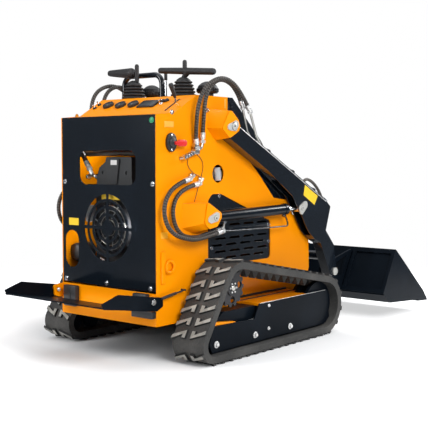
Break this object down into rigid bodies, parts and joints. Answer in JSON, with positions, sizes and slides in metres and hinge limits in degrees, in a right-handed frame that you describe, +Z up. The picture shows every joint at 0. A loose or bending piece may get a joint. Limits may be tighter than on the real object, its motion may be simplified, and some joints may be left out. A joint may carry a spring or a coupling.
{
  "type": "mini track loader",
  "caption": "Stand-on compact loader on rubber tracks, with twin lift arms, a bucket on a tilting hitch, a folding rear platform and a control console",
  "frame": {"origin": "on the ground under the middle of the machine's outer box", "axes": "+X forwards, +Y to the left, +Z up"},
  "size_m": [2.531, 1.2, 1.437],
  "materials": {
    "yellow_paint": "gloss orange-yellow powder coat",
    "black_paint": "gloss black powder coat",
    "black_plastic": "moulded black",
    "black_rubber": "moulded rubber",
    "bright_steel": "chromed or zinc plated",
    "dark_cast": "dark cast metal"
  },
  "bodies": {
    "chassis": {"side_plate_right": "yellow_paint", "side_plate_left": "yellow_paint", "lower_frame": "yellow_paint", "console": "yellow_paint", "track_supports": "yellow_paint", "side_vents": "black_paint", "rear_panel": "black_paint", "front_hood": "black_paint", "track_frames": "black_paint", "rollers": "black_paint", "sprockets": "dark_cast", "engine": "dark_cast", "engine_cover": "black_plastic", "fan_cowl": "black_plastic", "filler_caps": "black_plastic", "joysticks": "black_rubber", "grab_bar": "black_paint", "body_pins": "bright_steel", "platform_pins": "bright_steel", "platform_springs": "bright_steel", "track_right": "black_rubber", "track_left": "black_rubber", "hose_arm_front_right": "black_rubber", "hose_arm_front_left": "black_rubber", "hose_arm_rear_right": "black_rubber", "hose_arm_rear_left": "black_rubber", "hose_lift_front_right": "black_rubber", "hose_lift_front_left": "black_rubber", "hose_lift_rear_right": "black_rubber", "hose_lift_rear_left": "black_rubber"},
    "arms": {"arm_right": "black_paint", "arm_left": "black_paint", "arm_cross": "black_paint", "arm_pipes": "bright_steel", "knee_pin_flags": "bright_steel"},
    "bucket": {"bucket": "black_paint", "hitch_frame": "black_paint", "hitch_pins": "bright_steel"},
    "platform": {"platform": "black_paint"},
    "lift_barrel_right": {"lift_barrel_right": "black_paint"},
    "lift_barrel_left": {"lift_barrel_left": "black_paint"},
    "lift_rod_right": {"lift_rod_right": "bright_steel"},
    "lift_rod_left": {"lift_rod_left": "bright_steel"},
    "tilt_barrel": {"tilt_barrel": "black_paint"},
    "tilt_rod": {"tilt_rod": "bright_steel"}
  },
  "joints": [
    {"name": "arm_lift", "type": "hinge", "parent": "chassis", "child": "arms", "pos_m": [-0.4395, 0, 1.108], "axis": [0, -1, 0], "range_deg": [-4, 76], "deforming": ["hose_arm_front_right", "hose_arm_front_left", "hose_arm_rear_right", "hose_arm_rear_left"]},
    {"name": "bucket_tilt", "type": "hinge", "parent": "arms", "child": "bucket", "pos_m": [0.5135, 0, 0.3], "axis": [0, 1, 0], "range_deg": [-25, 80]},
    {"name": "platform_fold", "type": "hinge", "parent": "chassis", "child": "platform", "pos_m": [-0.9505, 0, 0.296], "axis": [0, 1, 0], "range_deg": [-10, 74], "deforming": ["platform_springs"]},
    {"name": "tilt_swing", "type": "hinge", "parent": "arms", "child": "tilt_barrel", "pos_m": [0.2015, 0, 0.892], "axis": [0, 1, 0], "range_deg": [-3.5, 10.1]},
    {"name": "tilt_slide", "type": "slide", "parent": "tilt_barrel", "child": "tilt_rod", "axis": [0.704, 0, -0.7102], "range_m": [-0.0696, 0.2184]},
    {"name": "lift_swing_right", "type": "hinge", "parent": "chassis", "child": "lift_barrel_right", "pos_m": [-0.5805, -0.362, 0.665], "axis": [0, -1, 0], "range_deg": [-3.23, 52.36], "deforming": ["hose_lift_front_right", "hose_lift_rear_right"]},
    {"name": "lift_slide_right", "type": "slide", "parent": "lift_barrel_right", "child": "lift_rod_right", "axis": [0.9998, 0, 0.0212], "range_m": [-0.0239, 0.4174]},
    {"name": "lift_swing_left", "type": "hinge", "parent": "chassis", "child": "lift_barrel_left", "pos_m": [-0.5805, 0.362, 0.665], "axis": [0, -1, 0], "range_deg": [-3.23, 52.36], "deforming": ["hose_lift_front_left", "hose_lift_rear_left"]},
    {"name": "lift_slide_left", "type": "slide", "parent": "lift_barrel_left", "child": "lift_rod_left", "axis": [0.9998, 0, 0.0212], "range_m": [-0.0239, 0.4174]}
  ],
  "couplings": [
    {"joint": "tilt_swing", "follows": "bucket_tilt", "ratio": 0.12},
    {"joint": "tilt_slide", "follows": "bucket_tilt", "m_per_rad": 0.155},
    {"joint": "lift_swing_right", "follows": "arm_lift", "ratio": 0.6824},
    {"joint": "lift_slide_right", "follows": "arm_lift", "m_per_rad": 0.3132},
    {"joint": "lift_swing_left", "follows": "arm_lift", "ratio": 0.6824},
    {"joint": "lift_slide_left", "follows": "arm_lift", "m_per_rad": 0.3132}
  ]
}
